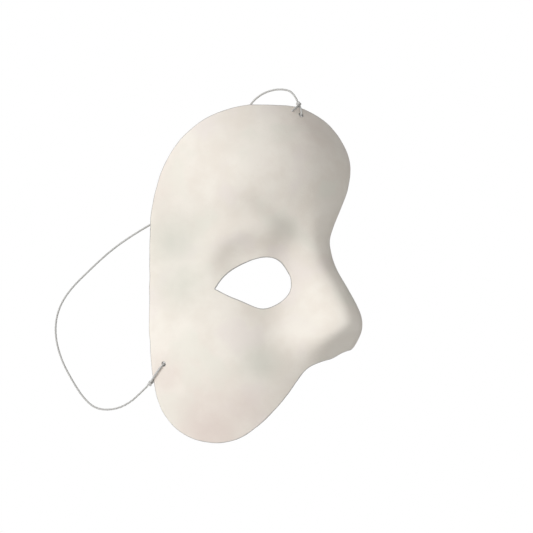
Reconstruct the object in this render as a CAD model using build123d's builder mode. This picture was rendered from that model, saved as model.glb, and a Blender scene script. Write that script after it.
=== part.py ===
from build123d import *
import math
import os

from scipy.interpolate import CubicSpline

# A half-face masquerade mask for the right half of the wearer's face and the whole nose.
# One thin elastic cord holds it on, tied through a punched hole at each end.
# Millimetres. The wearer faces -Y, the wearer's right is -X and +Z is up.
# The origin is on the inner side of the bridge of the nose, where the mask rests on the face.

# --- driving dimensions -------------------------------------------------------------------

shell_thickness = 1.2
cord_diameter = 1.1
cord_radius = cord_diameter / 2
hole_diameter = 2.4
knot_radius = 1.6
strap_end_gap = 0.2

# The head form under the mask: its half width and front-to-back depth at each height.
half_width_at = {-115: 60, -90: 67, -60: 74, -20: 78, 20: 78, 50: 75, 80: 68, 100: 60}
depth_at = {-115: 78, -60: 84, 0: 90, 50: 93, 100: 88}

# Where the front of the head form lies at each height, before the nose is added.
front_at = {
    -115: 6.5, -95: 0.5, -75: -2.5, -55: -1.2, -38: 2.8, -20: 6.2, -5: 7.7, 8: 6.2, 20: 1.8,
    32: -3.2, 44: -5.4, 58: -2.3, 71: 4.5, 86: 15.5, 100: 30.5,
}

# How far the ridge of the nose stands out of the head form, and the half width of the nose.
nose_height_at = {
    -84: 0, -76: 0.3, -68: 1.2, -62: 3.2, -57: 6.8, -52: 12.3, -47: 18.8, -42: 25.7, -36: 29.4,
    -29: 28, -21: 23.3, -13: 17.3, -5: 11.2, 2: 7.9, 9: 5.2, 17: 3.9, 26: 2.6, 36: 1, 48: 0,
}
nose_half_width_at = {
    -84: 22, -60: 21, -50: 20.5, -38: 18.8, -25: 16, -12: 13.5, 0: 12.5, 14: 13, 30: 16, 48: 20,
}
nose_steepness, nose_flatness = 0.87, 2.8

# Rounded swellings (+) and hollows (-) of the face:
# height, centre across, centre up, half size across, half size up, turn in degrees.
face_forms = {
    "eye_socket": (-2.6, -40, -3, 12, 9, 0),
    "inner_corner": (-1, -23, -3, 7, 12, 0),
    "brow_groove": (-1.7, -33, 28, 15, 5.5, -31),
    "cheekbone": (2, -52, -36, 18, 16, 0),
    "temple_top": (-1.8, -61, 50, 8, 22, -6),
    "temple": (-3.4, -66, -1, 8.5, 25, 0),
    "nostril_wing": (3, -15, -47, 7.5, 7.5, 0),
    "nose_side": (-1.2, -15, -32, 5, 9, 0),
}

# The brow ridge is an arc over the eye, fading out at both ends of its turn in degrees.
brow_height, brow_across, brow_up = 2.9, -37, -8
brow_radius, brow_half_width, brow_stretch = 22, 7.5, 1
brow_nose_end, brow_cheek_end = (20, 85), (220, 175)

# The holes for the cord and the knot off the rim beside each: turn round the head form, height.
lower_hole, lower_knot_place = (-72.3, -61.5), (-81.7, -73.0)
upper_hole, upper_knot_place = (-6.1, 79.4), (-4.4, 85.7)
knot_over_face = 0.6
tie_clearance = 0.5

# The cord's route from the lower knot to the upper one.
strap_route = [
    (-74.5, 71.0, -77.5), (-80.5, 74.5, -84.0), (-87.0, 80.5, -88.0), (-93.5, 89.0, -88.0),
    (-97.0, 96.5, -82.5), (-99.5, 105.0, -72.5), (-101.5, 114.0, -60.5), (-102.0, 120.0, -46.5),
    (-99.5, 121.5, -33.0), (-95.0, 116.5, -21.0), (-87.0, 107.0, -9.0), (-78.5, 96.5, 3.0),
    (-69.5, 85.5, 12.5), (-59.0, 73.0, 21.5), (-47.5, 62.0, 36.5), (-37.5, 52.5, 54.5),
    (-28.5, 45.5, 71.0), (-23.0, 41.0, 83.0), (-19.0, 36.0, 91.0), (-14.0, 29.0, 94.8),
    (-9.5, 22.5, 95.0), (-6.5, 18.0, 92.8),
]

# The short ends left over at the knots: turn round the head form, height, and height over the face.
upper_tail_route = [(-4.9, 85.0, 1.6), (-7.4, 83.0, 1.3), (-10.6, 80.9, 0.9)]
lower_tail_route = [(-81.4, -72.4, -0.6), (-80.9, -70.0, -2.3), (-79.6, -66.0, -2.4)]

# --- the form of the face -----------------------------------------------------------------


def smooth(stations):
    heights = sorted(stations)
    return CubicSpline(heights, [stations[up] for up in heights], bc_type="natural")


half_width = smooth(half_width_at)
depth = smooth(depth_at)
front = smooth(front_at)
nose_height = smooth(nose_height_at)
nose_half_width = smooth(nose_half_width_at)


def nose_relief(across, up):
    up = min(max(up, min(nose_height_at)), max(nose_height_at))
    offset = abs(across) / float(nose_half_width(up))
    return float(nose_height(up)) * math.exp(-nose_steepness * offset**nose_flatness)


def form_relief(across, up, form):
    height, centre_across, centre_up, size_across, size_up, turn = form
    right, rise = across - centre_across, up - centre_up
    cos, sin = math.cos(math.radians(turn)), math.sin(math.radians(turn))
    along = (cos * right + sin * rise) / size_across
    over = (cos * rise - sin * right) / size_up
    return height * math.exp(-along * along - over * over)


def ramp(value, start, finish):
    """Nought before the start, one past the finish and smooth between."""
    share = min(max((value - start) / (finish - start), 0.0), 1.0)
    return share * share * (3 - 2 * share)


def brow_relief(across, up):
    right, rise = (across - brow_across) / brow_stretch, up - brow_up
    turn = (math.degrees(math.atan2(rise, right)) + 90) % 360 - 90
    fade = ramp(turn, *brow_nose_end) * ramp(turn, *brow_cheek_end)
    distance = math.hypot(right, rise)
    return brow_height * fade * math.exp(-(((distance - brow_radius) / brow_half_width) ** 2))


def relief(across, up):
    side = -abs(across)
    forms = sum(form_relief(side, up, form) for form in face_forms.values())
    return nose_relief(across, up) + forms + brow_relief(side, up)


def face_point(turn, up):
    """A point of the mask's outer face, at a turn in degrees round the head form."""
    across = float(half_width(up)) * math.sin(math.radians(turn))
    back = float(depth(up)) * (1 - math.cos(math.radians(turn)))
    return Vector(across, float(front(up)) + back - relief(across, up), up)


def face_normal(turn, up):
    """The direction straight out of the outer face there."""
    across = face_point(turn + 1, up) - face_point(turn - 1, up)
    rise = face_point(turn, up + 1) - face_point(turn, up - 1)
    return across.cross(rise).normalized()


def spread(first, last, count):
    return [first + (last - first) * step / (count - 1) for step in range(count)]


side_turns = spread(-88, -26, 16)
nose_turns = spread(-23, 26, 26)
face_heights = spread(-112, 96, 53)
outer_face = Face.make_surface_from_array_of_points(
    [[face_point(turn, up) for turn in side_turns + nose_turns] for up in face_heights],
    tol=0.03,
    min_deg=3,
)

# --- the shell ----------------------------------------------------------------------------

# The rim and the eye are cut square to the three-quarter direction, the centre edge from the front.
quarter_turn = math.radians(40)
quarter_plane = Plane(
    origin=(0, 0, 0),
    x_dir=(math.cos(quarter_turn), -math.sin(quarter_turn), 0),
    z_dir=(-math.sin(quarter_turn), -math.cos(quarter_turn), 0),
)
front_plane = Plane(origin=(0, 0, 0), x_dir=(1, 0, 0), z_dir=(0, -1, 0))
cutter_reach = 200
inner_side, nose_low, top_height = 80, -44, 85
front_low, front_side = -120, -120

with BuildPart() as mask_shell:
    thicken(outer_face, amount=shell_thickness)
    with BuildSketch(quarter_plane):
        with BuildLine():
            rim = Spline(
                (-38.7, top_height), (-59, 80.5), (-75.7, 70.3), (-87, 56), (-94, 39), (-97.7, 20),
                (-98.3, -7), (-98.5, -42), (-97, -66), (-93.9, -82.5), (-86.4, -96), (-71, -104.7),
                (-53.3, -104.8), (-39.3, -97.6), (-25.3, -84.1), (-15.3, -71.3), (-11, -65.2),
                (-5, -61.2), (4.5, -58.6), (13, -54.3),
                tangents=((-1, 0), (1, 0.5)),
            )
            Polyline(rim @ 1, (inner_side, nose_low), (inner_side, top_height), rim @ 0)
        make_face()
    extrude(amount=cutter_reach, both=True, mode=Mode.INTERSECT)
    with BuildSketch(front_plane):
        with BuildLine():
            centre_edge = Spline(
                (-25, top_height), (-4.6, 84), (7.7, 78.3), (15.3, 71.7), (19.7, 61.3), (20.3, 54.3),
                (17.4, 40.3), (12.8, 26.5), (8.5, 14), (7, 3), (10, -12), (15.5, -30), (17.8, -41),
                (17, -49), (13, -56),
                tangents=((1, 0), (-1, -1.5)),
            )
            Polyline(
                centre_edge @ 1, (0, front_low), (front_side, front_low), (front_side, top_height),
                centre_edge @ 0,
            )
        make_face()
    extrude(amount=cutter_reach, both=True, mode=Mode.INTERSECT)
    with BuildSketch(quarter_plane):
        with BuildLine():
            upper_lid = Spline(
                (-60.7, -19), (-54, -10.6), (-42.5, -4), (-32, -1.4), (-24, -4), (-19.6, -10.5),
                (-18.2, -16.5),
                tangents=((0.5, 0.8), (0, -1)),
            )
            Spline(
                upper_lid @ 1, (-20.5, -23), (-27, -28), (-34, -30), (-42, -27.4), (-50.5, -23.8),
                upper_lid @ 0,
                tangents=((0, -1), (-1, 0.5)),
            )
        make_face()
    extrude(amount=cutter_reach, both=True, mode=Mode.SUBTRACT)
    for hole in (lower_hole, upper_hole):
        with Locations(Plane(origin=face_point(*hole), z_dir=face_normal(*hole))):
            Cylinder(hole_diameter / 2, 6 * shell_thickness, mode=Mode.SUBTRACT)
mask_shell.part.label = "mask_shell"

# --- the cord's ties ----------------------------------------------------------------------


class Tie:
    """One end of the cord, with places measured from its hole towards its knot."""

    def __init__(self, hole, knot):
        self.hole, self.knot = hole, knot
        self.length = (face_point(*knot) - face_point(*hole)).length

    def place(self, along, over):
        share = along / self.length
        turn = self.hole[0] + share * (self.knot[0] - self.hole[0])
        up = self.hole[1] + share * (self.knot[1] - self.hole[1])
        return face_point(turn, up) + face_normal(turn, up) * over

    def knot_centre(self):
        return self.place(self.length, knot_over_face)

    def loop(self):
        """From the knot over the face, through the hole and back to the knot behind the rim."""
        over_face = cord_radius + tie_clearance
        behind = -shell_thickness - cord_radius - tie_clearance
        middle = 0.5 * self.length
        return [
            self.place(self.length - 0.6, knot_over_face + 0.3),
            self.place(middle, over_face + 0.2),
            self.place(0, over_face),
            self.place(0, behind),
            self.place(middle, behind - 0.2),
            self.place(self.length - 0.1, behind),
            self.place(self.length + 0.2, knot_over_face - 0.8),
        ]


def arc_radius(before, corner, after, largest):
    """The largest arc that both runs leave room for, up to a limit."""
    into, out = corner - before, after - corner
    half_turn = math.radians(into.get_angle(out)) / 2
    return min(0.45 * min(into.length, out.length) / math.tan(half_turn), largest)


def arc_radii(route, largest=400):
    return [arc_radius(*route[i - 1 : i + 2], largest) for i in range(1, len(route) - 1)]


lower_tie = Tie(lower_hole, lower_knot_place)
upper_tie = Tie(upper_hole, upper_knot_place)
lower_centre = lower_tie.knot_centre()
upper_centre = upper_tie.knot_centre()


def cord_along(route, name):
    radii = arc_radii(route)
    print(name, "radii", [round(radius, 1) for radius in radii])
    with BuildPart() as cord:
        with BuildLine():
            path = FilletPolyline(*route, radius=radii)
        with BuildSketch(Plane(origin=path @ 0, z_dir=path % 0)):
            Circle(cord_radius)
        sweep()
    print(name, "length", round(path.length, 1), "volume", round(cord.part.volume, 2))
    print(name, "section times length", round(math.pi * cord_radius**2 * path.length, 2))
    cord.part.label = name
    return cord.part


def knot_at(centre, name):
    with BuildPart() as knot:
        with Locations(centre):
            Sphere(knot_radius)
    knot.part.label = name
    return knot.part


def on_face(route):
    return [face_point(turn, up) + face_normal(turn, up) * over for turn, up, over in route]


def off_knot(centre, towards):
    return centre + (towards - centre).normalized() * (knot_radius + strap_end_gap)


strap_points = [Vector(*point) for point in strap_route]
strap_start = off_knot(lower_centre, strap_points[0])
strap_finish = off_knot(upper_centre, strap_points[-1])

pieces = [
    mask_shell.part,
    cord_along([strap_start, *strap_points, strap_finish], "elastic_strap"),
    cord_along(lower_tie.loop(), "lower_tie_loop"),
    cord_along(upper_tie.loop(), "upper_tie_loop"),
    knot_at(lower_centre, "lower_knot"),
    knot_at(upper_centre, "upper_knot"),
    cord_along(on_face(lower_tail_route), "lower_tail"),
    cord_along(on_face(upper_tail_route), "upper_tail"),
]
print("swing axis from", lower_centre, "along", (upper_centre - lower_centre).normalized())
print("seat", face_point(0, 0) + Vector(0, shell_thickness, 0))

os.makedirs("parts", exist_ok=True)
for piece in pieces:
    export_step(piece, f"parts/{piece.label}.step")
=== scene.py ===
"""The looks of the half-face masquerade mask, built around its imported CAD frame.

Lengths inside the helper functions are millimetres, as in the CAD source.
Every object is made in metres.
"""

import math

import bpy
import numpy as np
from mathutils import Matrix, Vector
from mathutils.geometry import delaunay_2d_cdt
from mathutils.kdtree import KDTree
from mathutils.noise import noise


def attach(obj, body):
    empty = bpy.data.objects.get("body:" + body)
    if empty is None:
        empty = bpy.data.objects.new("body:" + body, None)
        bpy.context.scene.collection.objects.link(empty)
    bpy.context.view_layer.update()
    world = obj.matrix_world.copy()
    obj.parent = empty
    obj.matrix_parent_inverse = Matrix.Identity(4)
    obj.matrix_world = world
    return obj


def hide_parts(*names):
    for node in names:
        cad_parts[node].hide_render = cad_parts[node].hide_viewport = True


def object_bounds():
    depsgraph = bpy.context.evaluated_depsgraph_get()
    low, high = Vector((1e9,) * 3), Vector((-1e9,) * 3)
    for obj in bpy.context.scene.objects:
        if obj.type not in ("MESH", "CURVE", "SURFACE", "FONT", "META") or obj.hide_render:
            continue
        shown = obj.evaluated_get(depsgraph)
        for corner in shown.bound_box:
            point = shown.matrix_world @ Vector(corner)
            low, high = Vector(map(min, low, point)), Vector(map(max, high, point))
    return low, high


bpy.ops.wm.read_factory_settings(use_empty=True)
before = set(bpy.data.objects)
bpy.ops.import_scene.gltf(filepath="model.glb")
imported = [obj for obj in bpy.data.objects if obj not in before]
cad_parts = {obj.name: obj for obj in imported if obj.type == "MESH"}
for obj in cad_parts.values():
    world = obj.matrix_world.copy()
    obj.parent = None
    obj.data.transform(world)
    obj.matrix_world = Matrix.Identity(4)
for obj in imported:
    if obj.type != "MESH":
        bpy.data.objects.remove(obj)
cad_low, cad_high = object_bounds()
MM = 0.001

# --- sizes of the real thing --------------------------------------------------------------

SHELL_THICKNESS = 1.2
EDGE_ROUNDING = 0.28
CORD_RADIUS = 0.55

# --- the camera ---------------------------------------------------------------------------

camera_data = bpy.data.cameras.new("camera")
camera_data.lens = 102.43
camera_data.sensor_width = 36
camera_data.clip_start = 0.05
camera_data.clip_end = 60
camera = bpy.data.objects.new("camera", camera_data)
bpy.context.scene.collection.objects.link(camera)
# The target, distance and lens set the view and its size.
CAMERA_TARGET = Vector((-0.02884, 0.01533, -0.00652))
CAMERA_DISTANCE = 0.85
CAMERA_AZIMUTH = math.radians(-40)
camera_back = Vector((math.sin(CAMERA_AZIMUTH), -math.cos(CAMERA_AZIMUTH), 0))
camera.location = CAMERA_TARGET + camera_back * CAMERA_DISTANCE
camera.rotation_euler = (-camera_back).to_track_quat("-Z", "Y").to_euler()
bpy.context.scene.camera = camera

# --- the form of the face, as in the CAD source -------------------------------------------

HALF_WIDTH_AT = {-115: 60, -90: 67, -60: 74, -20: 78, 20: 78, 50: 75, 80: 68, 100: 60}
DEPTH_AT = {-115: 78, -60: 84, 0: 90, 50: 93, 100: 88}
FRONT_AT = {
    -115: 6.5, -95: 0.5, -75: -2.5, -55: -1.2, -38: 2.8, -20: 6.2, -5: 7.7, 8: 6.2, 20: 1.8,
    32: -3.2, 44: -5.4, 58: -2.3, 71: 4.5, 86: 15.5, 100: 30.5,
}
NOSE_HEIGHT_AT = {
    -84: 0, -76: 0.3, -68: 1.2, -62: 3.2, -57: 6.8, -52: 12.3, -47: 18.8, -42: 25.7, -36: 29.4,
    -29: 28, -21: 23.3, -13: 17.3, -5: 11.2, 2: 7.9, 9: 5.2, 17: 3.9, 26: 2.6, 36: 1, 48: 0,
}
NOSE_HALF_WIDTH_AT = {
    -84: 22, -60: 21, -50: 20.5, -38: 18.8, -25: 16, -12: 13.5, 0: 12.5, 14: 13, 30: 16, 48: 20,
}
NOSE_STEEPNESS, NOSE_FLATNESS = 0.87, 2.8
# Each: height, centre across, centre up, half size across, half size up, turn in degrees.
FACE_FORMS = {
    "eye_socket": (-2.6, -40, -3, 12, 9, 0),
    "inner_corner": (-1, -23, -3, 7, 12, 0),
    "brow_groove": (-1.7, -33, 28, 15, 5.5, -31),
    "cheekbone": (2, -52, -36, 18, 16, 0),
    "temple_top": (-1.8, -61, 50, 8, 22, -6),
    "temple": (-3.4, -66, -1, 8.5, 25, 0),
    "nostril_wing": (3, -15, -47, 7.5, 7.5, 0),
    "nose_side": (-1.2, -15, -32, 5, 9, 0),
}
BROW_HEIGHT, BROW_ACROSS, BROW_UP = 2.9, -37, -8
BROW_RADIUS, BROW_HALF_WIDTH, BROW_STRETCH = 22, 7.5, 1
BROW_NOSE_END, BROW_CHEEK_END = (20, 85), (220, 175)


def smooth(stations):
    """A natural cubic spline through the stations, as a function of arrays."""
    at = np.array(sorted(stations), float)
    value = np.array([stations[key] for key in sorted(stations)], float)
    step = np.diff(at)
    rise = np.diff(value) / step
    matrix, right = np.eye(len(at)), np.zeros(len(at))
    for i in range(1, len(at) - 1):
        matrix[i, i - 1 : i + 2] = step[i - 1], 2 * (step[i - 1] + step[i]), step[i]
        right[i] = 6 * (rise[i] - rise[i - 1])
    bend = np.linalg.solve(matrix, right)

    def evaluate(x):
        x = np.clip(np.asarray(x, float), at[0], at[-1])
        i = np.clip(np.searchsorted(at, x) - 1, 0, len(step) - 1)
        before, after, h = x - at[i], at[i + 1] - x, step[i]
        curve = (bend[i] * after**3 + bend[i + 1] * before**3) / (6 * h)
        line = (value[i] / h - bend[i] * h / 6) * after
        line = line + (value[i + 1] / h - bend[i + 1] * h / 6) * before
        return curve + line

    return evaluate


half_width, depth, front = smooth(HALF_WIDTH_AT), smooth(DEPTH_AT), smooth(FRONT_AT)
nose_height, nose_half_width = smooth(NOSE_HEIGHT_AT), smooth(NOSE_HALF_WIDTH_AT)


def ramp(value, start, finish):
    """Nought at the start, one at the finish and smooth between."""
    share = np.clip((value - start) / (finish - start), 0, 1)
    return share * share * (3 - 2 * share)


def relief(across, up):
    """How far the face stands out of the plain head form."""
    offset = np.abs(across) / nose_half_width(up)
    total = nose_height(up) * np.exp(-NOSE_STEEPNESS * offset**NOSE_FLATNESS)
    side = -np.abs(across)
    for height, centre_across, centre_up, size_across, size_up, turn in FACE_FORMS.values():
        cos, sin = math.cos(math.radians(turn)), math.sin(math.radians(turn))
        right, rise = side - centre_across, up - centre_up
        along = (cos * right + sin * rise) / size_across
        over = (cos * rise - sin * right) / size_up
        total = total + height * np.exp(-along * along - over * over)
    right, rise = (side - BROW_ACROSS) / BROW_STRETCH, up - BROW_UP
    turn = (np.degrees(np.arctan2(rise, right)) + 90) % 360 - 90
    fade = ramp(turn, *BROW_NOSE_END) * ramp(turn, *BROW_CHEEK_END)
    off_arc = (np.hypot(right, rise) - BROW_RADIUS) / BROW_HALF_WIDTH
    return total + BROW_HEIGHT * fade * np.exp(-(off_arc**2))


def face_point(turn, up):
    """Points of the mask's outer face, at turns in degrees round the head form."""
    turn, up = np.broadcast_arrays(np.asarray(turn, float), np.asarray(up, float))
    across = half_width(up) * np.sin(np.radians(turn))
    back = depth(up) * (1 - np.cos(np.radians(turn)))
    return np.stack([across, front(up) + back - relief(across, up), up], -1)


def face_normal(turn, up, reach=0.4):
    """The direction straight out of the outer face there."""
    turn, up = np.asarray(turn, float), np.asarray(up, float)
    across = face_point(turn + reach, up) - face_point(turn - reach, up)
    rise = face_point(turn, up + reach) - face_point(turn, up - reach)
    normal = np.cross(across, rise)
    return normal / np.linalg.norm(normal, axis=-1, keepdims=True)


def face_place(points):
    """The turn and the height of points that lie on the outer face."""
    across, up = points[:, 0], points[:, 2]
    sine = across / half_width(up)
    cosine = 1 - (points[:, 1] - front(up) + relief(across, up)) / depth(up)
    return np.stack([np.degrees(np.arctan2(sine, cosine)), up], -1)


# --- small helpers ------------------------------------------------------------------------


def unit(vectors):
    return vectors / np.maximum(np.linalg.norm(vectors, axis=-1, keepdims=True), 1e-12)


def mesh_piece(name, points_mm, faces, body):
    """A smooth-shaded mesh of points in millimetres, riding on a body of the frame."""
    mesh = bpy.data.meshes.new(name)
    mesh.from_pydata([tuple(point) for point in np.asarray(points_mm) * MM], [], faces)
    mesh.validate()
    mesh.polygons.foreach_set("use_smooth", [True] * len(mesh.polygons))
    piece = bpy.data.objects.new(name, mesh)
    bpy.context.scene.collection.objects.link(piece)
    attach(piece, body)
    return piece


def point_values(piece, name, values):
    """A number at each point of a mesh, which its material reads."""
    attribute = piece.data.attributes.new(name, "FLOAT", "POINT")
    attribute.data.foreach_set("value", np.asarray(values, np.float32))


SPLINE_STEPS = 24


def spline_line(points_mm, name, closed=False):
    """Points along a NURBS spline of order 3 with these control points, in millimetres."""
    curve = bpy.data.curves.new(name, "CURVE")
    curve.dimensions = "3D"
    curve.resolution_u = SPLINE_STEPS
    spline = curve.splines.new("NURBS")
    spline.points.add(len(points_mm) - 1)
    for target, point in zip(spline.points, points_mm):
        target.co = (*(float(value) * MM for value in point), 1)
    spline.order_u = 3
    spline.use_endpoint_u = not closed
    spline.use_cyclic_u = closed
    holder = bpy.data.objects.new(name, curve)
    bpy.context.scene.collection.objects.link(holder)
    graph = bpy.context.evaluated_depsgraph_get()
    line = bpy.data.meshes.new_from_object(holder.evaluated_get(graph))
    points = np.array([vertex.co for vertex in line.vertices]) / MM
    bpy.data.objects.remove(holder)
    bpy.data.curves.remove(curve)
    bpy.data.meshes.remove(line)
    return points


def resampled(points, spacing, closed=False):
    """The same line with even steps."""
    if closed:
        points = np.concatenate([points, points[:1]])
    travel = np.concatenate([[0], np.cumsum(np.linalg.norm(np.diff(points, axis=0), axis=1))])
    count = max(int(round(travel[-1] / spacing)), 6)
    at = np.linspace(0, travel[-1], count + 1)
    if closed:
        at = at[:-1]
    return np.stack([np.interp(at, travel, points[:, k]) for k in range(3)], -1)


# --- the cords ----------------------------------------------------------------------------

BRAID_SIDES = 18
BRAID_PITCH = 2.6
BRAID_RELIEF = 0.06
BRAID_STRANDS = 6
CORD_END_BULGE = 0.15
STRAP_STEP, TIE_STEP = 0.32, 0.2


def braided_tube(name, line, body, closed=False):
    """A round braided cord along a line: two sets of strands wind round it both ways."""
    ahead = np.roll(line, -1, axis=0) - np.roll(line, 1, axis=0)
    if not closed:
        ahead[0], ahead[-1] = line[1] - line[0], line[-1] - line[-2]
    ahead = unit(ahead)
    side = np.zeros_like(line)
    side[0] = unit(np.cross(ahead[0], (0.3, 0.2, 0.93)))
    for i in range(1, len(line)):
        carried = side[i - 1] - ahead[i] * np.dot(side[i - 1], ahead[i])
        side[i] = unit(carried)
    up = np.cross(ahead, side)
    travel = np.concatenate([[0], np.cumsum(np.linalg.norm(np.diff(line, axis=0), axis=1))])
    around = 2 * math.pi * np.arange(BRAID_SIDES) / BRAID_SIDES
    along = (2 * math.pi / BRAID_PITCH) * travel[:, None]
    half = BRAID_STRANDS / 2
    one_way = np.cos(half * (around[None, :] + along / half))
    other_way = np.cos(half * (around[None, :] - along / half))
    radius = CORD_RADIUS * (1 - BRAID_RELIEF + BRAID_RELIEF * np.maximum(one_way, other_way))
    outward = np.cos(around)[None, :, None] * side[:, None, :]
    outward = outward + np.sin(around)[None, :, None] * up[:, None, :]
    rings = line[:, None, :] + radius[..., None] * outward
    count = len(line)
    points = rings.reshape(-1, 3)
    faces = []
    for i in range(count if closed else count - 1):
        low, high = i * BRAID_SIDES, ((i + 1) % count) * BRAID_SIDES
        for k in range(BRAID_SIDES):
            after = (k + 1) % BRAID_SIDES
            faces.append((low + k, low + after, high + after, high + k))
    if not closed:
        tips = [line[:1] - ahead[:1] * CORD_END_BULGE, line[-1:] + ahead[-1:] * CORD_END_BULGE]
        points = np.concatenate([points, *tips])
        first, last = len(points) - 2, len(points) - 1
        for k in range(BRAID_SIDES):
            after = (k + 1) % BRAID_SIDES
            faces.append((first, after, k))
            high = (count - 1) * BRAID_SIDES
            faces.append((last, high + k, high + after))
    piece = mesh_piece(name, points, faces, body)
    values = np.repeat(travel, BRAID_SIDES)
    turns = np.tile(around / (2 * math.pi), count)
    if not closed:
        values = np.concatenate([values, [0, travel[-1]]])
        turns = np.concatenate([turns, [0, 0]])
    point_values(piece, "along", values)
    point_values(piece, "around", turns)
    return piece


KNOT_RADIUS, STRAP_END_GAP, KNOT_OVER_FACE, TIE_CLEARANCE = 1.6, 0.2, 0.6, 0.5
LOWER_HOLE, LOWER_KNOT_PLACE = (-72.3, -61.5), (-81.7, -73.0)
UPPER_HOLE, UPPER_KNOT_PLACE = (-6.1, 79.4), (-4.4, 85.7)
STRAP_ROUTE = [
    (-74.5, 71.0, -77.5), (-80.5, 74.5, -84.0), (-87.0, 80.5, -88.0), (-93.5, 89.0, -88.0),
    (-97.0, 96.5, -82.5), (-99.5, 105.0, -72.5), (-101.5, 114.0, -60.5), (-102.0, 120.0, -46.5),
    (-99.5, 121.5, -33.0), (-95.0, 116.5, -21.0), (-87.0, 107.0, -9.0), (-78.5, 96.5, 3.0),
    (-69.5, 85.5, 12.5), (-59.0, 73.0, 21.5), (-47.5, 62.0, 36.5), (-37.5, 52.5, 54.5),
    (-28.5, 45.5, 71.0), (-23.0, 41.0, 83.0), (-19.0, 36.0, 91.0), (-14.0, 29.0, 94.8),
    (-9.5, 22.5, 95.0), (-6.5, 18.0, 92.8),
]
UPPER_TAIL_ROUTE = [(-4.9, 85.0, 1.6), (-7.4, 83.0, 1.3), (-10.6, 80.9, 0.9)]
LOWER_TAIL_ROUTE = [(-81.4, -72.4, -0.6), (-80.9, -70.0, -2.3), (-79.6, -66.0, -2.4)]


def on_face(turn, up, over):
    """The point this far out of the face at a turn and a height."""
    return face_point(turn, up) + face_normal(turn, up) * over


def tie_route(hole, knot):
    """From the knot over the face, through the hole and back to the knot behind the rim."""
    length = np.linalg.norm(face_point(*knot) - face_point(*hole))
    over_face = CORD_RADIUS + TIE_CLEARANCE
    behind = -SHELL_THICKNESS - CORD_RADIUS - TIE_CLEARANCE
    stops = [
        (length - 0.6, KNOT_OVER_FACE + 0.3), (0.5 * length, over_face + 0.2), (0, over_face),
        (0, behind), (0.5 * length, behind - 0.2), (length - 0.1, behind),
        (length + 0.2, KNOT_OVER_FACE - 0.8),
    ]
    route = []
    for along, over in stops:
        share = along / length
        place = [hole[k] + share * (knot[k] - hole[k]) for k in range(2)]
        route.append(on_face(*place, over))
    return route


KNOT_SIZE, KNOT_DEPTH, KNOT_STEPS, KNOT_TILT = 0.45, 1.25, 96, (0.2, 1, 0.1)


def knot_line(centre, ahead, tilt):
    """A tight overhand knot: a trefoil lying across the cord."""
    ahead = unit(np.asarray(ahead, float))
    side = unit(np.cross(ahead, tilt))
    up = np.cross(side, ahead)
    turns = np.linspace(0, 2 * math.pi, KNOT_STEPS + 1)[:-1]
    flat = KNOT_SIZE * np.stack([
        np.sin(turns) + 2 * np.sin(2 * turns),
        np.cos(turns) - 2 * np.cos(2 * turns),
        -KNOT_DEPTH * np.sin(3 * turns),
    ], -1)
    return centre + flat[:, :1] * ahead + flat[:, 1:2] * up + flat[:, 2:] * side


lower_centre = on_face(*LOWER_KNOT_PLACE, KNOT_OVER_FACE)
upper_centre = on_face(*UPPER_KNOT_PLACE, KNOT_OVER_FACE)
strap_points = [np.array(point) for point in STRAP_ROUTE]
reach = KNOT_RADIUS + STRAP_END_GAP
strap_start = lower_centre + unit(strap_points[0] - lower_centre) * reach
strap_finish = upper_centre + unit(strap_points[-1] - upper_centre) * reach

strap_route = [strap_start, *strap_points, strap_finish]
strap_line = resampled(spline_line(strap_route, "strap_line"), STRAP_STEP)
strap = braided_tube("strap_elastic", strap_line, "strap")
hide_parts("elastic_strap")

ties = []


def add_tie(name, line, stands_for, closed=False):
    tie = braided_tube(name, resampled(line, TIE_STEP, closed), "mask", closed)
    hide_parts(stands_for)
    ties.append(tie)


ENDS = (
    ("lower", LOWER_HOLE, LOWER_KNOT_PLACE, LOWER_TAIL_ROUTE, lower_centre, strap_points[0]),
    ("upper", UPPER_HOLE, UPPER_KNOT_PLACE, UPPER_TAIL_ROUTE, upper_centre, strap_points[-1]),
)
for name, hole, knot, _, _, _ in ENDS:
    add_tie(f"{name}_tie_cord", spline_line(tie_route(hole, knot), "tie_line"), f"{name}_tie_loop")
for name, _, _, route, _, _ in ENDS:
    tail_points = [on_face(*place) for place in route]
    add_tie(f"{name}_tail_cord", spline_line(tail_points, "tail_line"), f"{name}_tail")
for name, _, _, _, centre, neighbour in ENDS:
    line = knot_line(centre, neighbour - centre, KNOT_TILT)
    add_tie(f"{name}_knot_cord", line, f"{name}_knot", closed=True)

# --- the shell ----------------------------------------------------------------------------

SHORTEST_CHAIN, LOOP_GAP = 20, 12.0
FACE_REACH, FACE_LEAN = 0.45, 0.6


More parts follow.
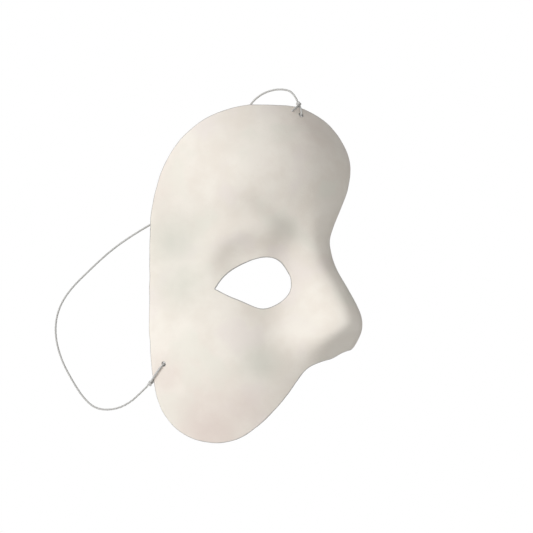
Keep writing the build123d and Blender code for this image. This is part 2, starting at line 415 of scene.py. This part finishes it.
def cad_outer_loops():
    """The closed edges of the CAD shell's outer face, in millimetres, longest first."""
    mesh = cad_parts["mask_shell"].data
    mesh.calc_loop_triangles()
    points = np.array([vertex.co for vertex in mesh.vertices]) / MM
    keys, same = np.unique(np.round(points, 3), axis=0, return_inverse=True)
    same = same.ravel()
    triangles = same[np.array([triangle.vertices for triangle in mesh.loop_triangles])]
    place = face_place(keys)
    away = keys - face_point(place[:, 0], place[:, 1])
    normal = face_normal(place[:, 0], place[:, 1])
    on_outer = np.abs((away * normal).sum(-1)) < FACE_REACH
    corners = keys[triangles]
    facing = unit(np.cross(corners[:, 1] - corners[:, 0], corners[:, 2] - corners[:, 0]))
    lean = (facing * normal[triangles[:, 0]]).sum(-1)
    outer = on_outer[triangles].all(1) & (lean > FACE_LEAN)
    edges = {}
    for a, b, c in triangles[outer]:
        edges.update(dict.fromkeys(((a, b), (b, c), (c, a))))
    after = {a: b for a, b in edges if (b, a) not in edges}
    chains = []
    while after:
        current, chain = next(iter(after)), []
        while current in after:
            chain.append(keys[current])
            current = after.pop(current)
        chain.append(keys[current])
        if len(chain) > SHORTEST_CHAIN:
            chains.append(chain)
    loops = []
    while chains:
        chain = chains.pop(0)
        while chains and np.linalg.norm(chain[0] - chain[-1]) > LOOP_GAP:
            gaps = [np.linalg.norm(chain[-1] - other[0]) for other in chains]
            chain += chains.pop(int(np.argmin(gaps)))
        loops.append(np.array(chain))
    loops.sort(key=lambda loop: -np.ptp(loop, axis=0).max())
    return loops


CORNER_MOVE = (0.1, 0.25)


def smoothed(loop, spacing, width, corners):
    """The loop with even steps and its facets smoothed away, its sharp corners kept if asked."""
    points = resampled(loop, spacing, closed=True)
    steps = range(-3 * width, 3 * width + 1)
    weights = [math.exp(-0.5 * (k / width) ** 2) for k in steps]
    rolled = (np.roll(points, k, axis=0) * weight for k, weight in zip(steps, weights))
    soft = sum(rolled) / sum(weights)
    if not corners:
        return soft
    moved = np.linalg.norm(soft - points, axis=1)
    keep = ramp(moved, *CORNER_MOVE)[:, None]
    return points * keep + soft * (1 - keep)


def inside(loop, points):
    """Which of the points lie inside a closed loop, both flat."""
    found = np.zeros(len(points), bool)
    after = np.roll(loop, -1, axis=0)
    for (x0, y0), (x1, y1) in zip(loop, after):
        if y0 == y1:
            continue
        crosses = (points[:, 1] < y0) != (points[:, 1] < y1)
        at = x0 + (points[:, 1] - y0) * (x1 - x0) / (y1 - y0)
        found ^= crosses & (points[:, 0] < at)
    return found


def steps_between(stops):
    """Values from stop to stop, each stretch with its own step: (from, step), ..., (to, None)."""
    values = []
    for (start, step), (finish, _) in zip(stops[:-1], stops[1:]):
        count = int(round((finish - start) / step))
        values += [start + (finish - start) * k / count for k in range(count)]
    return np.array([*values, stops[-1][0]])


# The shell's mesh: its step in degrees across and in millimetres up, finer round the nose.
DEGREE_MM = 1.42
COLUMN_STOPS = [(-92, 0.8), (-28, 0.42), (28, None)]
ROW_STOPS = [(-108, 1.1), (-64, 0.7), (-36, 0.9), (20, 1.1), (88, None)]
BROAD_WAVE, BROAD_RISE = 13.0, 0.16
FINE_WAVE, FINE_RISE, FINE_SHIFT = 4.5, 0.05, 31.0
PUCKER_PLACE, PUCKER_SIZE = (-10.0, -50.0), (7.0, 4.5)
PUCKER_PITCH, PUCKER_RISE, PUCKER_LEAN = 3.0, 0.16, 0.12


RIM_WAVE, RIM_SWAY, AXIS_SHIFT = 9.0, 0.35, 17.0


def rim_wave(point):
    """How far the hand-trimmed rim strays sideways from its true line at a point."""
    place = Vector(point / RIM_WAVE)
    shifts = [Vector((axis * AXIS_SHIFT, 0, 0)) for axis in range(3)]
    return RIM_SWAY * np.array([noise(place + shift) for shift in shifts])


def unevenness(points):
    """How far pressed fibre stands off its mould: broad lumps, and puckers by the nostril."""
    broad = np.array([noise(Vector(point / BROAD_WAVE)) for point in points])
    fine = np.array([noise(Vector(point / FINE_WAVE + FINE_SHIFT)) for point in points])
    across = (points[:, 0] - PUCKER_PLACE[0]) / PUCKER_SIZE[0]
    rise = (points[:, 2] - PUCKER_PLACE[1]) / PUCKER_SIZE[1]
    fold = np.cos(2 * math.pi * (points[:, 2] + PUCKER_LEAN * points[:, 0]) / PUCKER_PITCH)
    pucker = PUCKER_RISE * fold * np.exp(-across * across - rise * rise)
    return BROAD_RISE * broad + FINE_RISE * fine + pucker


# Broad faint stains in the fibre, partly their real tint and partly painted shade in the temple
# hollow and on the cheeks: across, back, up and size in millimetres, and strength.
STAINS_AND_SHADE = {
    "sage": [(-66, 51, 8, 17, 1.0), (-65, 47, -14, 15, 0.9), (-38, 11, -60, 11, 0.9)],
    "rose": [
        (-54, 36, -98, 24, 1.0), (-70, 58, -68, 14, 0.7), (-44, 18, -86, 14, 0.8),
        (-73, 60, 38, 16, 0.5), (-4, 6, 74, 14, 0.5),
    ],
}


def stain_and_shade_share(points, spots):
    """How strong the stains, with their painted shade, are at each point."""
    share = np.zeros(len(points))
    for *centre, size, strength in spots:
        distance = np.linalg.norm(points - np.array(centre), axis=1) / size
        share = np.maximum(share, strength * np.exp(-distance * distance))
    return share


HOLE_SIZE, HOLE_STEP, EDGE_STEP, RIM_WIDTH, EYE_WIDTH = 6, 0.25, 0.7, 3, 2
GRID_CLEARANCE = 0.42
FAR_FROM_EDGE = 9.0


def make_shell():
    """The moulded face with rounded cut edges, cut to the CAD shell's own outlines."""
    loops = cad_outer_loops()
    edge_base, edge_out, edge_ring = [], [], []
    for loop in loops:
        step = HOLE_STEP if np.ptp(loop, axis=0).max() < HOLE_SIZE else EDGE_STEP
        rim = loop is loops[0]
        points = smoothed(loop, step, RIM_WIDTH if rim else EYE_WIDTH, not rim)
        if rim:
            points = points + np.array([rim_wave(point) for point in points])
        place = face_place(points)
        points = face_point(place[:, 0], place[:, 1])
        normal = face_normal(place[:, 0], place[:, 1])
        ahead = unit(np.roll(points, -1, axis=0) - np.roll(points, 1, axis=0))
        edge_base.append(place)
        edge_out.append(unit(np.cross(ahead, normal)))
        edge_ring.append(face_place(points - edge_out[-1] * EDGE_ROUNDING))
    flat_scale = np.array([DEGREE_MM, 1.0])
    flat_loops = [ring * flat_scale for ring in edge_ring]
    columns, rows = steps_between(COLUMN_STOPS), steps_between(ROW_STOPS)
    grid = []
    for k, up in enumerate(rows):
        turns = columns if k % 2 else (columns[:-1] + columns[1:]) / 2
        grid.append(np.stack([turns, np.full(len(turns), up)], -1))
    grid = np.concatenate(grid)
    flat_grid = grid * flat_scale
    kept = inside(flat_loops[0], flat_grid)
    for loop in flat_loops[1:]:
        kept &= ~inside(loop, flat_grid)
    flat_grid = flat_grid[kept]
    edge_points = np.concatenate(flat_loops)
    tree = KDTree(len(edge_points))
    for k, point in enumerate(edge_points):
        tree.insert((*point, 0), k)
    tree.balance()
    clear = np.array([tree.find((*point, 0))[2] for point in flat_grid])
    flat_grid = flat_grid[clear > GRID_CLEARANCE]
    flat = np.concatenate([edge_points, flat_grid])
    starts = np.cumsum([0, *[len(loop) for loop in flat_loops]])
    edges = []
    for start, loop in zip(starts, flat_loops):
        edges += [(start + k, start + (k + 1) % len(loop)) for k in range(len(loop))]
    made = delaunay_2d_cdt([Vector(point) for point in flat], edges, [], 0, 1e-5)
    flat = np.array([tuple(point) for point in made[0]])
    reordered = any(k not in names for k, names in enumerate(made[3]))
    if reordered or len(made[0]) != len(edge_points) + len(flat_grid):
        print("outline crosses itself:", len(made[0]), len(edge_points) + len(flat_grid))
    triangles = np.array(made[2])
    middle = flat[triangles].mean(1)
    kept = inside(flat_loops[0], middle)
    for loop in flat_loops[1:]:
        kept &= ~inside(loop, middle)
    triangles = triangles[kept]
    place = flat / flat_scale
    outer = face_point(place[:, 0], place[:, 1])
    normal = face_normal(place[:, 0], place[:, 1])
    outer = outer + normal * unevenness(outer)[:, None]
    count = len(outer)
    points = [outer, outer - normal * SHELL_THICKNESS]
    faces = [tuple(t) for t in triangles] + [tuple(t[::-1] + count) for t in triangles]
    kinds = [0] * len(triangles) + [1] * len(triangles)
    total = 2 * count
    # Distance of each point from the cut edge in millimetres, read by the material for the painted
    # shade along the edge.
    edge_shade_distance = np.full(2 * count, FAR_FROM_EDGE)
    quarter = [math.radians(angle) for angle in (30, 60, 90)]
    for start, loop_place, out in zip(starts, edge_base, edge_out):
        base = face_point(loop_place[:, 0], loop_place[:, 1])
        across = face_normal(loop_place[:, 0], loop_place[:, 1])
        base = base + across * unevenness(base)[:, None]
        rings = []
        for angle in quarter:
            drop, reach = 1 - math.cos(angle), 1 - math.sin(angle)
            rings.append(base - across * EDGE_ROUNDING * drop - out * EDGE_ROUNDING * reach)
        flat_part = SHELL_THICKNESS - 2 * EDGE_ROUNDING
        rings.append(base - across * (EDGE_ROUNDING + flat_part / 2))
        for angle in quarter[::-1]:
            drop, reach = math.cos(angle), 1 - math.sin(angle)
            depth_in = SHELL_THICKNESS - EDGE_ROUNDING + EDGE_ROUNDING * drop
            rings.append(base - across * depth_in - out * EDGE_ROUNDING * reach)
        size = len(base)
        ids = [start + np.arange(size)]
        for ring in rings:
            points.append(ring)
            ids.append(total + np.arange(size))
            total += size
        ids.append(start + np.arange(size) + count)
        edge_shade_distance = np.concatenate([edge_shade_distance, np.zeros(size * len(rings))])
        for low, high in zip(ids[:-1], ids[1:]):
            for k in range(size):
                after = (k + 1) % size
                faces.append((low[k], high[k], high[after], low[after]))
                kinds.append(2)
    points = np.concatenate(points)
    tree = KDTree(len(edge_points))
    for start, loop_place in zip(starts, edge_base):
        for k, point in enumerate(face_point(loop_place[:, 0], loop_place[:, 1])):
            tree.insert(point, start + k)
    tree.balance()
    for k, point in enumerate(points[: 2 * count]):
        edge_shade_distance[k] = min(tree.find(point)[2], FAR_FROM_EDGE)
    faces = [tuple(int(k) for k in face) for face in faces]
    shell = mesh_piece("mask_face", points, faces, "mask")
    shell.data.polygons.foreach_set("material_index", kinds)
    point_values(shell, "edge_mm", edge_shade_distance)
    for name, spots in STAINS_AND_SHADE.items():
        point_values(shell, name, stain_and_shade_share(points, spots))
    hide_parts("mask_shell")
    print("shell", len(points), "points", len(faces), "faces", len(flat_loops), "loops")
    return shell


shell = make_shell()

# --- materials ----------------------------------------------------------------------------


class Nodes:
    """A material's node tree, with nodes made and joined in one call."""

    def __init__(self, name):
        self.material = bpy.data.materials.new(name)
        self.material.use_nodes = True
        self.tree = self.material.node_tree
        self.shader = self.tree.nodes["Principled BSDF"]

    def add(self, kind, settings=None, **inputs):
        node = self.tree.nodes.new("ShaderNode" + kind)
        for key, value in (settings or {}).items():
            setattr(node, key, value)
        for key, value in inputs.items():
            numbered = key[0] == "i" and key[1:].isdigit()
            socket = node.inputs[int(key[1:]) if numbered else key]
            if isinstance(value, bpy.types.NodeSocket):
                self.tree.links.new(value, socket)
            else:
                socket.default_value = value
        return node

    def into(self, name, socket):
        self.tree.links.new(socket, self.shader.inputs[name])

    def maths(self, operation, *values):
        inputs = {f"i{k}": value for k, value in enumerate(values)}
        return self.add("Math", {"operation": operation}, **inputs).outputs[0]

    def noise(self, where, scale, detail=2.0, roughness=0.5):
        inputs = {"Vector": where, "Scale": scale, "Detail": detail, "Roughness": roughness}
        return self.add("TexNoise", None, **inputs).outputs["Fac"]

    def value(self, name):
        return self.add("Attribute", {"attribute_name": name}).outputs["Fac"]

    def stretched(self, where, scale, rotation):
        inputs = {"Vector": where, "Scale": scale, "Rotation": rotation}
        return self.add("Mapping", None, **inputs).outputs[0]

    def bump(self, height, strength, distance):
        node = self.add("Bump", None, Height=height, Strength=strength, Distance=distance)
        self.into("Normal", node.outputs[0])

    def between(self, value, low, high, to_low, to_high):
        inputs = {"i0": value, "i1": low, "i2": high, "i3": to_low, "i4": to_high}
        settings = {"interpolation_type": "SMOOTHSTEP"}
        return self.add("MapRange", settings, **inputs).outputs[0]

    def mixed(self, share, first, second):
        node = self.add("Mix", {"data_type": "RGBA"})
        for key, value in (("Factor", share), ("A", first), ("B", second)):
            sockets = [socket for socket in node.inputs if socket.name == key and socket.enabled]
            if isinstance(value, bpy.types.NodeSocket):
                self.tree.links.new(value, sockets[0])
            else:
                sockets[0].default_value = value
        return [socket for socket in node.outputs if socket.enabled][0]


FIBRE_LIGHT = (0.900, 0.852, 0.780, 1)
FIBRE_WARM = (0.850, 0.790, 0.715, 1)
FIBRE_ROSE = (0.865, 0.800, 0.752, 1)
FIBRE_SAGE = (0.850, 0.822, 0.742, 1)
SAGE_STAIN_AND_SHADE, ROSE_STAIN_AND_SHADE = (0.715, 0.705, 0.630, 1), (0.765, 0.670, 0.615, 1)
EDGE_PAINTED_SHADE = (0.43, 0.42, 0.40, 1)
CUT_LIGHT, CUT_DARK = (0.47, 0.455, 0.43, 1), (0.36, 0.35, 0.33, 1)
CORD_LIGHT, CORD_GROOVE_SHADE = (0.60, 0.595, 0.58, 1), (0.47, 0.465, 0.45, 1)
CORD_FUZZ = (0.66, 0.66, 0.65, 1)
INNER_LIGHT, INNER_DARK = (0.83, 0.78, 0.71, 1), (0.74, 0.68, 0.60, 1)


def fibre_material(name, inner=False):
    nodes = Nodes(name)
    where = nodes.add("TexCoord").outputs["Object"]
    cloud = nodes.noise(where, 55, 4, 0.55)
    patch = nodes.noise(where, 120, 3, 0.6)
    tint = nodes.noise(where, 38, 2, 0.5)
    speck = nodes.noise(where, 900, 3, 0.6)
    light, dark = (INNER_LIGHT, INNER_DARK) if inner else (FIBRE_LIGHT, FIBRE_WARM)
    colour = nodes.mixed(nodes.between(cloud, 0.35, 0.68, 0, 1), light, dark)
    colour = nodes.mixed(nodes.between(tint, 0.54, 0.70, 0, 0.8), colour, FIBRE_ROSE)
    colour = nodes.mixed(nodes.between(tint, 0.46, 0.32, 0, 0.8), colour, FIBRE_SAGE)
    colour = nodes.mixed(nodes.between(patch, 0.60, 0.75, 0, 0.35), colour, dark)
    # Stains: partly real tint, partly painted shade in the temple hollow and on the cheeks.
    for name, stain_and_shade in (("sage", SAGE_STAIN_AND_SHADE), ("rose", ROSE_STAIN_AND_SHADE)):
        patchy = nodes.between(cloud, 0.2, 0.7, 0.6, 1.0)
        broken = nodes.maths("MULTIPLY", nodes.value(name), patchy)
        colour = nodes.mixed(broken, colour, stain_and_shade)
    colour = nodes.mixed(nodes.between(speck, 0.62, 0.75, 0, 0.22), colour, INNER_DARK)
    # A grey band along the cut edges on the outer face: painted shade of the edge.
    sway = nodes.maths("MULTIPLY", nodes.maths("SUBTRACT", patch, 0.5), 0.5)
    wobble = nodes.maths("ADD", nodes.value("edge_mm"), sway)
    colour = nodes.mixed(nodes.between(wobble, 0.75, 0.25, 0, 0.9), colour, EDGE_PAINTED_SHADE)
    nodes.into("Base Color", colour)
    rough = nodes.between(nodes.noise(where, 400, 3), 0.3, 0.7, 0.82, 0.94)
    nodes.into("Roughness", rough)
    nodes.shader.inputs["Specular IOR Level"].default_value = 0.22
    nodes.shader.inputs["Sheen Weight"].default_value = 0.08
    nodes.shader.inputs["Sheen Roughness"].default_value = 0.6
    one_way = nodes.stretched(where, (1.0, 1.0, 0.35), (0.6, 0.3, 0.4))
    other_way = nodes.stretched(where, (0.35, 1.0, 1.0), (-0.4, 0.9, 0.2))
    fibres = nodes.maths(
        "MAXIMUM", nodes.noise(one_way, 1900, 2, 0.5), nodes.noise(other_way, 1700, 2, 0.5)
    )
    lumps = nodes.noise(where, 330, 4, 0.6)
    height = nodes.maths("ADD", nodes.maths("MULTIPLY", fibres, 0.35), lumps)
    nodes.bump(height, 0.55 if inner else 0.3, 0.0005 if inner else 0.00028)
    return nodes.material


def edge_material():
    nodes = Nodes("trimmed_edge")
    where = nodes.add("TexCoord").outputs["Object"]
    layers = nodes.noise(where, 1400, 3, 0.6)
    share = nodes.between(layers, 0.35, 0.65, 0, 1)
    # The cut face is coloured much darker than the fibre: partly its raw core, partly painted
    # shade of the edge.
    nodes.into("Base Color", nodes.mixed(share, CUT_LIGHT, CUT_DARK))
    nodes.shader.inputs["Roughness"].default_value = 0.92
    nodes.shader.inputs["Specular IOR Level"].default_value = 0.2
    nodes.bump(layers, 0.5, 0.0002)
    return nodes.material


def cord_material():
    nodes = Nodes("elastic_braid")
    along, around = nodes.value("along"), nodes.value("around")
    where = nodes.add("TexCoord").outputs["Object"]
    fuzz = nodes.noise(where, 2600, 3, 0.6)
    turns = nodes.maths("MULTIPLY", around, 2 * math.pi * BRAID_STRANDS / 2)
    travel = nodes.maths("MULTIPLY", along, 2 * math.pi / BRAID_PITCH)
    one = nodes.maths("COSINE", nodes.maths("ADD", turns, travel))
    other = nodes.maths("COSINE", nodes.maths("SUBTRACT", turns, travel))
    strands = nodes.maths("MAXIMUM", one, other)
    # Darker between the strands: painted shade in the braid's grooves.
    share = nodes.between(strands, -0.4, 0.9, 0, 1)
    colour = nodes.mixed(share, CORD_GROOVE_SHADE, CORD_LIGHT)
    colour = nodes.mixed(nodes.between(fuzz, 0.4, 0.75, 0, 0.35), colour, CORD_FUZZ)
    nodes.into("Base Color", colour)
    nodes.shader.inputs["Roughness"].default_value = 0.7
    nodes.shader.inputs["Specular IOR Level"].default_value = 0.3
    nodes.shader.inputs["Sheen Weight"].default_value = 0.1
    nodes.bump(nodes.maths("ADD", strands, fuzz), 0.3, 0.00006)
    return nodes.material


outside, lining = fibre_material("pressed_fibre"), fibre_material("pressed_fibre_inside", True)
for material in (outside, lining, edge_material()):
    shell.data.materials.append(material)
braid = cord_material()
for piece in (strap, *ties):
    piece.data.materials.append(braid)

# --- the stage and the light --------------------------------------------------------------


def camera_white(tree, output, plain):
    """Pure white to the camera, and the plain shader to everything else."""
    path = tree.nodes.new("ShaderNodeLightPath")
    on_material = output.bl_idname == "ShaderNodeOutputMaterial"
    white = tree.nodes.new("ShaderNodeEmission" if on_material else "ShaderNodeBackground")
    white.inputs["Color"].default_value = (1, 1, 1, 1)
    white.inputs["Strength"].default_value = 1
    mix = tree.nodes.new("ShaderNodeMixShader")
    tree.links.new(path.outputs["Is Camera Ray"], mix.inputs[0])
    tree.links.new(plain.outputs[0], mix.inputs[1])
    tree.links.new(white.outputs[0], mix.inputs[2])
    tree.links.new(mix.outputs[0], output.inputs["Surface"])


AMBIENT, AMBIENT_SLOPE, AMBIENT_COLOUR = 0.385, 0.25, (1.0, 0.995, 0.985, 1)
LIGHT_SIDE = Vector((-0.98, 0.12, 0.16))
world = bpy.data.worlds.new("studio")
bpy.context.scene.world = world
world.use_nodes = True
ambient = world.node_tree.nodes["Background"]
ambient.inputs["Color"].default_value = AMBIENT_COLOUR
sky = world.node_tree.nodes.new("ShaderNodeTexCoord")
facing = world.node_tree.nodes.new("ShaderNodeVectorMath")
facing.operation = "DOT_PRODUCT"
facing.inputs[1].default_value = LIGHT_SIDE
slope = world.node_tree.nodes.new("ShaderNodeMath")
slope.operation = "MULTIPLY_ADD"
slope.inputs[1].default_value = AMBIENT_SLOPE
slope.inputs[2].default_value = AMBIENT
world.node_tree.links.new(sky.outputs["Generated"], facing.inputs[0])
world.node_tree.links.new(facing.outputs["Value"], slope.inputs[0])
world.node_tree.links.new(slope.outputs[0], ambient.inputs["Strength"])
camera_white(world.node_tree, world.node_tree.nodes["World Output"], ambient)

FLOOR_DROP, FLOOR_HALF = 0.32, 6.0
floor_up = cad_low.z - FLOOR_DROP
floor_mesh = bpy.data.meshes.new("floor")
corners = [(-1, -1), (1, -1), (1, 1), (-1, 1)]
floor_points = [(x * FLOOR_HALF, y * FLOOR_HALF, floor_up) for x, y in corners]
floor_mesh.from_pydata(floor_points, [], [(0, 1, 2, 3)])
floor = bpy.data.objects.new("floor", floor_mesh)
bpy.context.scene.collection.objects.link(floor)
pale = Nodes("pale_floor")
pale.shader.inputs["Base Color"].default_value = (0.9, 0.9, 0.89, 1)
pale.shader.inputs["Roughness"].default_value = 0.9
camera_white(pale.tree, pale.tree.nodes["Material Output"], pale.shader)
floor_mesh.materials.append(pale.material)


def sun(name, towards_light, strength, softness, colour=(1, 1, 1)):
    data = bpy.data.lights.new(name, "SUN")
    data.energy, data.angle, data.color = strength, math.radians(softness), colour
    light = bpy.data.objects.new(name, data)
    light.rotation_euler = Vector(towards_light).to_track_quat("Z", "Y").to_euler()
    bpy.context.scene.collection.objects.link(light)


sun("key", LIGHT_SIDE, 1.5, 20)
sun("front", (-0.64, -0.76, 0.10), 0.5, 40)
sun("back_fill", (0.5, 0.8, 0.5), 0.3, 40)

bpy.context.scene.view_settings.view_transform = "Standard"
bpy.context.scene.view_settings.look = "None"
